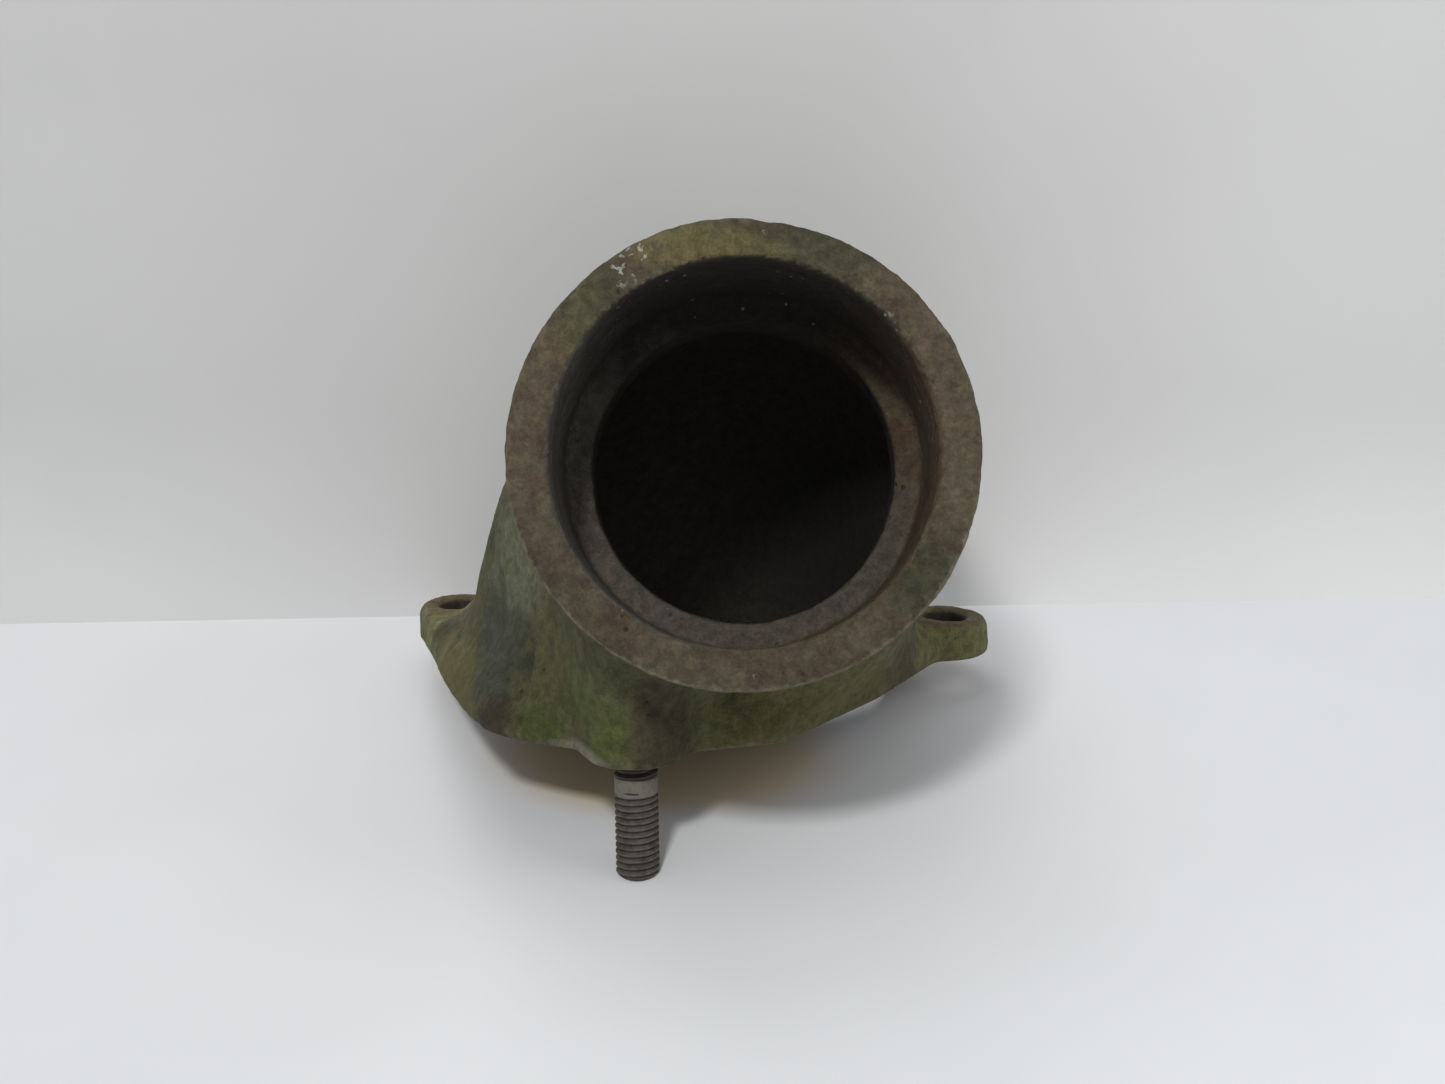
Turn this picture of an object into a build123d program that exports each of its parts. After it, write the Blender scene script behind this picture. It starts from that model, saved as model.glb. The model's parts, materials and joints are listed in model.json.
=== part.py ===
"""Cast-iron pipe elbow with a three-bolt flange, an offset slip socket and one seized flange stud.

Frame: millimetres, +Z up. The origin is the centre of the port in the mounting face of the
flange, and the face is the plane Z = 0. The two ear bolt holes lie on a line parallel to X,
the stud boss is on the -Y side, and the mouth of the elbow opens towards -Y, a little
towards +X and a little upwards.
"""

from build123d import *
import math
import os

# Flange
FLANGE_THICKNESS = 12.7
EAR_X = 84.1
EAR_Y = 31.5
EAR_RADIUS = 15.0
EAR_HOLE_RADIUS = 7.15
FLANGE_BODY_RADIUS = 79.0
FLANGE_EDGE_ROUND = 2.4

# Left and right edges of the flange between the ears and the front corners
LEFT_CORNER = (-50.5, -77.5)
RIGHT_CORNER = (42.0, -75.0)
LEFT_CORNER_ROUND = 7.0
RIGHT_CORNER_ROUND = 14.0

SHIELD = [(-97.1, 24.7), LEFT_CORNER, (-12.0, -90.0), (12.0, -88.0), RIGHT_CORNER,
          (66.5, -27.5), (84.5, 20.0), (84.0, 31.5), (-84.0, 31.5)]
REAR_ARC_FROM = 10.0
LOBE_NOTCHES = [(-15.0, -89.0), (15.0, -87.0), (83.2, 16.5), (70.0, 36.6), (-70.0, 36.6)]
NOTCH_ROUND = 7.0

# Stud boss at the front of the flange
STUD_X = 0.0
STUD_Y = -89.5
BOSS_RADIUS = 15.0
BOSS_SKIN = 0.6
BOSS_TOP = 44.0
TAPPED_RADIUS = 6.4
TAPPED_DEPTH = 23.0

# Port in the mounting face
PORT_RADIUS = 62.0
PORT_DEPTH = 10.0

# Mouth: centre of its face, and the direction in which it opens
MOUTH_X = 36.0
MOUTH_Y = -120.4
MOUTH_Z = 94.4
MOUTH_TURN_DEG = 7.6
MOUTH_RISE_DEG = 16.0
MOUTH_RIM_RADIUS = 62.5
SOCKET_RADIUS = 51.0
SOCKET_DEPTH = 52.0
NECK_BORE_RADIUS = 43.2
BARREL_LENGTH = 70.0
BARREL_BACK_RADIUS = 60.5
SOCKET_CHAMFER = 1.2

# Bend between the flange and the barrel
BEND_RADIUS = 78.0
AXIS_SHIFT_START = 0.0
AXIS_SHIFT_END = 19.0
OUTER_SECTIONS = [(0.0, 72.0), (9.0, 71.5), (22.0, 71.5), (36.0, 71.4), (50.0, 69.2),
                  (62.0, 65.0), (74.0, 61.0)]
INNER_SECTIONS = [(0.0, 60.5), (9.0, 60.8), (22.0, 61.0), (36.0, 61.0), (50.0, 58.5),
                  (62.0, 52.5), (74.0, 43.2)]

# Skirt that carries the sides of the flange up into the bend: a low splay, then a steep wall
SKIRT = [(-86.0, 22.0), (-51.5, -76.5), (-12.0, -88.5), (12.0, -86.5), (41.0, -73.5),
         (65.0, -27.5), (79.0, 6.0), (66.0, 34.0), (-66.0, 34.0)]
SKIRT_ROUND = 8.0
SPLAY_FROM = 10.0
SPLAY_HEIGHT = 9.0
SPLAY_TAPER_DEG = 45.0
WALL_INSET = 7.5
WALL_TOP = 44.0
WALL_TAPER_DEG = 17.0

# Buttress that joins the stud boss to the bend
BUTTRESS_X = -4.0
BUTTRESS_Y = -46.0
BUTTRESS_RADIUS = 34.0

# Stud, 1/2-13 UNC at both ends
STUD_MAJOR_RADIUS = 6.35
STUD_PITCH = 25.4 / 13.0
STUD_THREAD_DEPTH = 1.15
STUD_TOP = 19.0
STUD_SHANK_TOP = -5.8
STUD_SHANK_BOTTOM = -10.7
STUD_TIP = -36.6
STUD_CHAMFER = 1.7
GROOVE_HALF_WIDTH = 0.46
GROOVE_ROOT_FLAT = 0.15


def mouth_direction():
    """Unit vector along the mouth's axis, pointing out of the mouth."""
    turn = math.radians(MOUTH_TURN_DEG)
    rise = math.radians(MOUTH_RISE_DEG)
    level = math.cos(rise)
    return Vector(math.sin(turn) * level, -math.cos(turn) * level, math.sin(rise))


def mouth_point(back):
    """Point on the mouth's axis, `back` millimetres behind the face of the rim."""
    return Vector(MOUTH_X, MOUTH_Y, MOUTH_Z) - mouth_direction() * back


def mouth_plane(back):
    """Plane square to the mouth's axis, with its normal pointing back into the elbow."""
    return Plane(origin=mouth_point(back), x_dir=(math.cos(math.radians(MOUTH_TURN_DEG)),
                 math.sin(math.radians(MOUTH_TURN_DEG)), 0), z_dir=-mouth_direction())


def bend_section(angle_deg, radius):
    """Circle across the bend, `angle_deg` round from the port towards the barrel."""
    turn = math.radians(MOUTH_TURN_DEG)
    angle = math.radians(angle_deg)
    full = 90.0 - MOUTH_RISE_DEG
    part = angle_deg / full
    blend = part * part * (3.0 - 2.0 * part)
    shift = AXIS_SHIFT_START + (AXIS_SHIFT_END - AXIS_SHIFT_START) * blend
    out = BEND_RADIUS * (1.0 - math.cos(angle))
    origin = (shift + out * math.sin(turn), -out * math.cos(turn), BEND_RADIUS * math.sin(angle))
    normal = (math.sin(turn) * math.sin(angle), -math.cos(turn) * math.sin(angle), math.cos(angle))
    plane = Plane(origin=origin, x_dir=(math.cos(turn), math.sin(turn), 0), z_dir=normal)
    return plane * Circle(radius)


def flange_outline():
    """Shield-shaped outline: rear arc, two ears, the slanted sides and the stud's lobe."""
    rear = Circle(FLANGE_BODY_RADIUS) & Pos(0, FLANGE_BODY_RADIUS + REAR_ARC_FROM) * Rectangle(
        3 * FLANGE_BODY_RADIUS, 2 * FLANGE_BODY_RADIUS)
    shield = Polygon(*SHIELD, align=None)
    shield = fillet(shield.vertices().sort_by_distance(LEFT_CORNER)[0], LEFT_CORNER_ROUND)
    shield = fillet(shield.vertices().sort_by_distance(RIGHT_CORNER)[0], RIGHT_CORNER_ROUND)
    outline = rear + shield
    outline += Pos(-EAR_X, EAR_Y) * Circle(EAR_RADIUS)
    outline += Pos(EAR_X, EAR_Y) * Circle(EAR_RADIUS)
    outline += Pos(STUD_X, STUD_Y) * Circle(BOSS_RADIUS - BOSS_SKIN)
    return outline


def flange_plate():
    """Flange plate with soft inner corners beside the lobes and a rounded upper edge."""
    outline = flange_outline()
    notches = []
    for point in LOBE_NOTCHES:
        notches.append(outline.vertices().sort_by_distance(point)[0])
    outline = fillet(notches, NOTCH_ROUND)
    plate = extrude(outline, FLANGE_THICKNESS)
    rim = plate.edges().group_by(Axis.Z)[-1]
    return fillet(rim, FLANGE_EDGE_ROUND)


def skirt():
    """Skirt between the flange's sides and the bend."""
    outline = Polygon(*SKIRT, align=None)
    outline = fillet(outline.vertices(), SKIRT_ROUND)
    splay = Pos(0, 0, SPLAY_FROM) * extrude(outline, SPLAY_HEIGHT, taper=SPLAY_TAPER_DEG)
    inner = offset(outline, -WALL_INSET)
    wall_from = SPLAY_FROM + 2.0
    wall = Pos(0, 0, wall_from) * extrude(inner, WALL_TOP - wall_from, taper=WALL_TAPER_DEG)
    return splay + wall


def buttress():
    """Stud boss, and the broad web behind it that runs back into the bend."""
    outline = make_hull([
        (Pos(STUD_X, STUD_Y) * Circle(BOSS_RADIUS)).edge(),
        (Pos(BUTTRESS_X, BUTTRESS_Y) * Circle(BUTTRESS_RADIUS)).edge(),
    ])
    return extrude(outline, BOSS_TOP)


def bend_solid(sections):
    """Smooth solid through circles across the bend, given as (angle, radius) pairs."""
    faces = []
    for angle_deg, radius in sections:
        faces.append(bend_section(angle_deg, radius))
    return loft(faces)


def outer_form():
    """Outside of the casting before it is hollowed: flange, bend, barrel and stud boss."""
    along = (Align.CENTER, Align.CENTER, Align.MIN)
    barrel = mouth_plane(0) * Cone(MOUTH_RIM_RADIUS, BARREL_BACK_RADIUS, BARREL_LENGTH, align=along)
    body = bend_solid(OUTER_SECTIONS)
    return flange_plate() + skirt() + buttress() + body + barrel


def flow_passage():
    """Everything the flow passes through: socket, neck bore, bend and port."""
    along = (Align.CENTER, Align.CENTER, Align.MIN)
    socket = mouth_plane(-1) * Cylinder(SOCKET_RADIUS, SOCKET_DEPTH + 1, align=along)
    lead_in = mouth_plane(-0.01) * Cone(SOCKET_RADIUS + SOCKET_CHAMFER, SOCKET_RADIUS,
                                        SOCKET_CHAMFER, align=along)
    neck_length = BARREL_LENGTH - SOCKET_DEPTH + 3
    neck = mouth_plane(SOCKET_DEPTH - 1) * Cylinder(NECK_BORE_RADIUS, neck_length, align=along)
    port = Pos(0, 0, -1) * Cylinder(PORT_RADIUS, PORT_DEPTH + 1, align=along)
    return socket + lead_in + neck + port + bend_solid(INNER_SECTIONS)


def elbow_casting():
    """The one-piece elbow casting with its holes."""
    along = (Align.CENTER, Align.CENTER, Align.MIN)
    casting = outer_form() - flow_passage()
    for side in (-1, 1):
        hole = Pos(side * EAR_X, EAR_Y, -1) * Cylinder(EAR_HOLE_RADIUS, 60, align=along)
        casting -= hole
    casting -= Pos(STUD_X, STUD_Y, -1) * Cylinder(TAPPED_RADIUS, TAPPED_DEPTH + 1, align=along)
    return casting


def groove_points(start, end):
    """Profile points of the thread grooves between two heights, from the lower one upwards."""
    root = STUD_MAJOR_RADIUS - STUD_THREAD_DEPTH
    points = []
    turns = int((end - start) / STUD_PITCH)
    for turn in range(turns):
        middle = start + (turn + 0.5) * STUD_PITCH
        points.append((STUD_MAJOR_RADIUS, middle - GROOVE_HALF_WIDTH * STUD_PITCH))
        points.append((root, middle - GROOVE_ROOT_FLAT))
        points.append((root, middle + GROOVE_ROOT_FLAT))
        points.append((STUD_MAJOR_RADIUS, middle + GROOVE_HALF_WIDTH * STUD_PITCH))
    return points


def flange_stud():
    """Double-ended stud: threads at both ends and a short plain shank between them."""
    low_radius = STUD_MAJOR_RADIUS - STUD_CHAMFER
    points = [(0, STUD_TIP), (low_radius, STUD_TIP), (STUD_MAJOR_RADIUS, STUD_TIP + STUD_CHAMFER)]
    points += groove_points(STUD_TIP + STUD_CHAMFER, STUD_SHANK_BOTTOM)
    points += groove_points(STUD_SHANK_TOP, STUD_TOP - STUD_CHAMFER)
    points += [(STUD_MAJOR_RADIUS, STUD_TOP - STUD_CHAMFER), (low_radius, STUD_TOP), (0, STUD_TOP)]
    profile = Plane.XZ * Polygon(*points, align=None)
    return Pos(STUD_X, STUD_Y, 0) * revolve(profile, Axis.Z)


def main():
    """Write each piece of the elbow to its own STEP file."""
    os.makedirs("parts", exist_ok=True)
    pieces = {
        "elbow_casting": elbow_casting(),
        "flange_stud": flange_stud(),
    }
    for name, shape in pieces.items():
        export_step(shape, "parts/" + name + ".step")
        print(name, "solids", len(shape.solids()), "volume", round(shape.volume, 1))


if __name__ == "__main__":
    main()
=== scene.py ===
"""Cast pipe elbow: rough iron casting with an offset slip socket, and the stud seized in its flange.

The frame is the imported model's, in metres: the origin is the centre of the port in the mounting
face, +Z leaves the flange's upper side, and the socket opens towards -Y. The elbow rests on the
tip of its stud and on the rear edge of its flange, so the floor leans in this frame.
"""
import json
import logging
import math
from dataclasses import dataclass
from enum import Enum
from typing import Any

import bpy
import numpy as np
from mathutils import Matrix, Vector


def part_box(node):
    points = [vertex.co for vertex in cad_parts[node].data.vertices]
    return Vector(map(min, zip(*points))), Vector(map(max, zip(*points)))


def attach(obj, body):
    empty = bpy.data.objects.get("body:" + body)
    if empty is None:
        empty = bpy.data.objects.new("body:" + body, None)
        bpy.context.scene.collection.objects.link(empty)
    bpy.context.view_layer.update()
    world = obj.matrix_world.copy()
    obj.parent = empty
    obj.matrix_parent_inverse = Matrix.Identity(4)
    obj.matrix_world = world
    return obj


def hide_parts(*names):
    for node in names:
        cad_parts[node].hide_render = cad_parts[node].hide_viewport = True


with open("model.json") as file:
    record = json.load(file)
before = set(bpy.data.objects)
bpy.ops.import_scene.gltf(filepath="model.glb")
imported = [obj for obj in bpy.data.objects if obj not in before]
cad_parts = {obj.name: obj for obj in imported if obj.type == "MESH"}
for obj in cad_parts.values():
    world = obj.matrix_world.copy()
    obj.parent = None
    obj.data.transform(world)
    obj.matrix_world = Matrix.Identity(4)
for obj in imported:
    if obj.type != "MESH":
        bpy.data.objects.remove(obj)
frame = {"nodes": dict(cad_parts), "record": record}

LOG = logging.getLogger("elbow")
MM = 0.001
WEIGHT_LEVELS = 24
Colour = tuple[float, float, float]
Rows = np.ndarray


class Solver(Enum):
    """What a boolean step does with the second shape."""

    JOIN = "UNION"
    KEEP_COMMON = "INTERSECT"


def chip(red: float, green: float, blue: float) -> Colour:
    """Turn a paint chip's 0-255 values into a linear colour.

    Args:
        red: Red, 0 to 255.
        green: Green, 0 to 255.
        blue: Blue, 0 to 255.

    Returns:
        The linear colour.
    """
    return tuple(((c / 255 + 0.055) / 1.055) ** 2.4 if c > 10 else c / 255 / 12.92
                 for c in (red, green, blue))


def ease(values: Rows, low: float, high: float) -> Rows:
    """Rise smoothly from 0 at low to 1 at high; high may be the lower one.

    Args:
        values: Numbers to ease.
        low: Where the result is 0.
        high: Where the result is 1.

    Returns:
        Numbers from 0 to 1.
    """
    part = np.clip((values - low) / (high - low), 0.0, 1.0)
    return part * part * (3.0 - 2.0 * part)


class Workshop:
    """Object and edit mode steps that the pieces share."""

    @staticmethod
    def only(piece: bpy.types.Object) -> None:
        """Select this object alone and make it active."""
        bpy.ops.object.select_all(action="DESELECT")
        piece.select_set(True)
        bpy.context.view_layer.objects.active = piece

    @staticmethod
    def open(piece: bpy.types.Object) -> None:
        """Enter edit mode on one object with nothing selected."""
        Workshop.only(piece)
        bpy.ops.object.mode_set(mode="EDIT")
        bpy.ops.mesh.select_mode(type="VERT")
        bpy.ops.mesh.select_all(action="DESELECT")

    @staticmethod
    def close() -> None:
        """Leave edit mode."""
        bpy.ops.object.mode_set(mode="OBJECT")

    @staticmethod
    def apply(piece: bpy.types.Object, kind: str, **settings: Any) -> None:
        """Add a modifier with its settings and apply it.

        Args:
            piece: Mesh object.
            kind: The modifier's type.
            settings: The modifier's properties by name.
        """
        Workshop.only(piece)
        step = piece.modifiers.new("step", kind)
        for name, value in settings.items():
            setattr(step, name, value)
        bpy.ops.object.modifier_apply(modifier=step.name)

    @staticmethod
    def combine(piece: bpy.types.Object, tool: bpy.types.Object, how: Solver) -> None:
        """Combine a closed shape with another one, which is used up.

        Args:
            piece: Shape that stays.
            tool: Shape that goes.
            how: What to keep.
        """
        Workshop.apply(piece, "BOOLEAN", object=tool, operation=how.value, solver="EXACT")
        bpy.data.objects.remove(tool)

    @staticmethod
    def settle(piece: bpy.types.Object) -> None:
        """Leave the object at the origin, unturned and unscaled, with its place in its mesh."""
        Workshop.only(piece)
        bpy.ops.object.transform_apply(location=True, rotation=True, scale=True)

    @staticmethod
    def points(piece: bpy.types.Object) -> Rows:
        """Return the mesh's vertices, one row each."""
        flat = np.empty(len(piece.data.vertices) * 3)
        piece.data.vertices.foreach_get("co", flat)
        return flat.reshape(-1, 3)

    @staticmethod
    def normals(piece: bpy.types.Object) -> Rows:
        """Return the normals at the mesh's vertices, one row each."""
        flat = np.empty(len(piece.data.vertices) * 3)
        piece.data.vertex_normals.foreach_get("vector", flat)
        return flat.reshape(-1, 3)

    @staticmethod
    def weigh(piece: bpy.types.Object, name: str, weights: Rows) -> str:
        """Put weights into a vertex group.

        Args:
            piece: Mesh object.
            name: The group's name.
            weights: A number from 0 to 1 for each vertex.

        Returns:
            The group's name.
        """
        group = piece.vertex_groups.new(name=name)
        levels = np.rint(np.clip(weights, 0.0, 1.0) * WEIGHT_LEVELS).astype(int)
        for level in range(1, WEIGHT_LEVELS + 1):
            members = np.nonzero(levels == level)[0].tolist()
            if members:
                group.add(members, level / WEIGHT_LEVELS, "REPLACE")
        return group.name

    @staticmethod
    def clouds(size: float, depth: int, hard: bool = False) -> bpy.types.Texture:
        """Make a procedural cloud pattern for displacement.

        Args:
            size: Size of its lumps, in metres.
            depth: How many finer layers it has.
            hard: Whether it has sharp creases.

        Returns:
            The pattern.
        """
        pattern = bpy.data.textures.new("clouds", "CLOUDS")
        pattern.noise_scale = size
        pattern.noise_depth = depth
        pattern.noise_type = "HARD_NOISE" if hard else "SOFT_NOISE"
        return pattern


class Wire:
    """A value in a material; arithmetic on it adds Math nodes."""

    def __init__(self, bench: "Bench", socket: bpy.types.NodeSocket) -> None:
        """Hold a node's output.

        Args:
            bench: The material it belongs to.
            socket: The output.
        """
        self.bench = bench
        self.socket = socket

    def __add__(self, other: "Wire | float") -> "Wire":
        """Add."""
        return self.bench.math("ADD", self, other)

    def __radd__(self, other: float) -> "Wire":
        """Add to a number."""
        return self.bench.math("ADD", other, self)

    def __sub__(self, other: "Wire | float") -> "Wire":
        """Subtract."""
        return self.bench.math("SUBTRACT", self, other)

    def __rsub__(self, other: float) -> "Wire":
        """Subtract from a number."""
        return self.bench.math("SUBTRACT", other, self)

    def __mul__(self, other: "Wire | float") -> "Wire":
        """Multiply."""
        return self.bench.math("MULTIPLY", self, other)

    def __rmul__(self, other: float) -> "Wire":
        """Multiply a number."""
        return self.bench.math("MULTIPLY", other, self)

    def __pow__(self, other: float) -> "Wire":
        """Raise to a power."""
        return self.bench.math("POWER", self, other)

    def __or__(self, other: "Wire") -> "Wire":
        """Take the larger of two masks."""
        return self.bench.math("MAXIMUM", self, other)


class Bench:
    """A material under construction, with the steps that the finishes share."""

    def __init__(self, name: str) -> None:
        """Start an empty material.

        Args:
            name: The material's name.
        """
        self.material = bpy.data.materials.new(name)
        self.material.use_nodes = True
        self.tree = self.material.node_tree
        self.tree.nodes.clear()

    def node(self, kind: str, settings: dict[str, Any] | None = None,
             inputs: dict[Any, Any] | None = None) -> bpy.types.Node:
        """Add a node.

        Args:
            kind: The node's type.
            settings: Its properties, which are set first.
            inputs: Values or wires of its input sockets, by name or index.

        Returns:
            The node.
        """
        made = self.tree.nodes.new(kind)
        for name, value in (settings or {}).items():
            setattr(made, name, value)
        for key, value in (inputs or {}).items():
            if isinstance(value, Wire):
                self.tree.links.new(value.socket, made.inputs[key])
            elif isinstance(value, tuple) and made.inputs[key].type == "RGBA":
                made.inputs[key].default_value = (*value, 1.0)
            else:
                made.inputs[key].default_value = value
        return made

    def out(self, made: bpy.types.Node, key: Any = 0) -> Wire:
        """Wrap one output of a node."""
        return Wire(self, made.outputs[key])

    def math(self, operation: str, *values: "Wire | float") -> Wire:
        """Add a Math node."""
        return self.out(self.node("ShaderNodeMath", {"operation": operation},
                                  dict(enumerate(values))))

    def vector(self, operation: str, *values: Any, key: str = "Vector") -> Wire:
        """Add a Vector Math node.

        Args:
            operation: What it does.
            values: Its vectors.
            key: The output that is wanted.

        Returns:
            The result.
        """
        return self.out(self.node("ShaderNodeVectorMath", {"operation": operation},
                                  dict(enumerate(values))), key)

    def place(self) -> Wire:
        """Return the point on the object, in millimetres."""
        spot = self.out(self.node("ShaderNodeTexCoord"), "Object")
        return self.vector("MULTIPLY", spot, (1000.0, 1000.0, 1000.0))

    def noise(self, at: Wire, size: float, detail: float = 3.0, rough: float = 0.55) -> Wire:
        """Add a cloudy pattern that goes from about 0.2 to 0.8.

        Args:
            at: Where to read it.
            size: Size of its lumps, in the units of `at`.
            detail: How many finer layers it has.
            rough: How strong they are.

        Returns:
            The pattern.
        """
        return self.out(self.node("ShaderNodeTexNoise", {"noise_dimensions": "3D"}, {
            "Vector": at, "Scale": 1.0 / size, "Detail": detail, "Roughness": rough}), 0)

    def cells(self, at: Wire, size: float) -> Wire:
        """Return the distance to the nearest of many scattered points, in cells.

        Args:
            at: Where to read it.
            size: Size of a cell, in the units of `at`.

        Returns:
            The distance.
        """
        return self.out(self.node("ShaderNodeTexVoronoi", {"feature": "F1"}, {
            "Vector": at, "Scale": 1.0 / size}), "Distance")

    def rise(self, value: Wire, low: float, high: float) -> Wire:
        """Go smoothly from 0 at low to 1 at high; high may be the lower one.

        Args:
            value: What to map.
            low: Where the result is 0.
            high: Where the result is 1.

        Returns:
            A mask.
        """
        return self.out(self.node(
            "ShaderNodeMapRange", {"interpolation_type": "SMOOTHSTEP", "clamp": True},
            {0: value, 1: low, 2: high, 3: 0.0, 4: 1.0}), 0)

    def patch(self, at: Wire, centre: Colour, radii: Colour, edge: Wire | None = None,
              soft: float = 0.5) -> Wire:
        """Mask a rounded region, with a ragged border where an edge pattern is given.

        Args:
            at: Where to read it.
            centre: Middle of the region.
            radii: Half its size along each axis.
            edge: Pattern that moves its border.
            soft: How wide the border is, as a share of the radius.

        Returns:
            A mask.
        """
        offset = self.vector("SUBTRACT", at, centre)
        scaled = self.vector("DIVIDE", offset, radii)
        reach = self.vector("LENGTH", scaled, key="Value")
        if edge is not None:
            reach = reach + (edge - 0.5) * 1.6
        return self.rise(reach, 1.0 + soft / 2, 1.0 - soft / 2)

    def pair(self, at: Wire, centre: Colour, radii: Colour, edge: Wire | None = None,
             soft: float = 0.5) -> Wire:
        """Mask a rounded region and its twin on the other side of X = 0.

        Args:
            at: Where to read it.
            centre: Middle of the region.
            radii: Half its size along each axis.
            edge: Pattern that moves its border.
            soft: How wide the border is, as a share of the radius.

        Returns:
            A mask.
        """
        twin = (-centre[0], centre[1], centre[2])
        return self.patch(at, twin, radii, edge, soft) | self.patch(at, centre, radii, edge, soft)

    def split(self, at: Wire) -> list[Wire]:
        """Return the three parts of a vector."""
        parts = self.node("ShaderNodeSeparateXYZ", {}, {0: at})
        return [self.out(parts, axis) for axis in range(3)]

    def mix(self, low: Any, high: Any, part: Wire | float, how: str = "MIX") -> Wire:
        """Blend two colours.

        Args:
            low: Colour where part is 0.
            high: Colour where part is 1.
            part: The mask.
            how: The blend mode.

        Returns:
            The colour.
        """
        made = self.node("ShaderNodeMix", {"data_type": "RGBA", "blend_type": how},
                         {0: part, 6: low, 7: high})
        return self.out(made, 2)

    def shade(self, colour: Wire, dark: float, light: float, part: Wire) -> Wire:
        """Multiply a colour by greys from dark to light as a pattern goes from 0 to 1.

        Args:
            colour: The colour.
            dark: Factor where the pattern is 0.
            light: Factor where the pattern is 1.
            part: The pattern.

        Returns:
            The colour.
        """
        grey = self.mix((dark, dark, dark), (light, light, light), part)
        return self.mix(colour, grey, 1.0, "MULTIPLY")

    def attribute(self, name: str) -> Wire:
        """Read a number kept on the mesh."""
        return self.out(self.node("ShaderNodeAttribute", {"attribute_name": name}), "Fac")

    def bump(self, height: Wire, depth: float, normal: Wire | None = None) -> Wire:
        """Raise the surface's normal by a pattern.

        Args:
            height: Pattern from 0 to 1.
            depth: Its height, in metres.
            normal: Relief that it adds to.

        Returns:
            The normal.
        """
        inputs = {"Strength": 1.0, "Distance": depth, "Height": height}
        if normal is not None:
            inputs["Normal"] = normal
        return self.out(self.node("ShaderNodeBump", {}, inputs))

    def surface(self, piece: bpy.types.Object, inputs: dict[str, Any]) -> None:
        """Finish the material with a Principled shader and give it to a piece.

        Args:
            piece: Mesh object.
            inputs: The shader's inputs by name.
        """
        shader = self.node("ShaderNodeBsdfPrincipled", {}, inputs)
        self.node("ShaderNodeOutputMaterial", {}, {"Surface": self.out(shader)})
        piece.data.materials.clear()
        piece.data.materials.append(self.material)


@dataclass(frozen=True)
class Mouth:
    """The socket's face: its centre, and the directions out of it, across it and up it."""

    centre: Rows
    outward: Rows
    across: Rows
    upward: Rows

    @classmethod
    def from_record(cls, record: dict[str, Any]) -> "Mouth":
        """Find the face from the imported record's socket.

        Args:
            record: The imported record.

        Returns:
            The face.
        """
        mount = next(m for m in record["mounts"] if m["name"] == "mouth_socket")
        outward = np.array(mount["axis"])
        chamfer = 1.2 * MM
        centre = np.array(mount["pos_m"]) + outward * (mount["dims"]["length_mm"] * MM / 2 + chamfer)
        across = np.array([-outward[1], outward[0], 0.0])
        across = across / np.linalg.norm(across)
        return cls(centre, outward, across, np.cross(outward, across))

    def depth(self, points: Rows) -> Rows:
        """Return how far each point stands out of the face, negative inside the elbow."""
        return (points - self.centre) @ self.outward

    def radius(self, points: Rows) -> Rows:
        """Return each point's distance from the socket's axis."""
        offset = points - self.centre
        return np.linalg.norm(offset - np.outer(offset @ self.outward, self.outward), axis=1)

    def clock(self, points: Rows) -> Rows:
        """Return each point's angle round the axis, in degrees clockwise from the top."""
        offset = points - self.centre
        return np.degrees(np.arctan2(offset @ self.across, offset @ self.upward))


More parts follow.
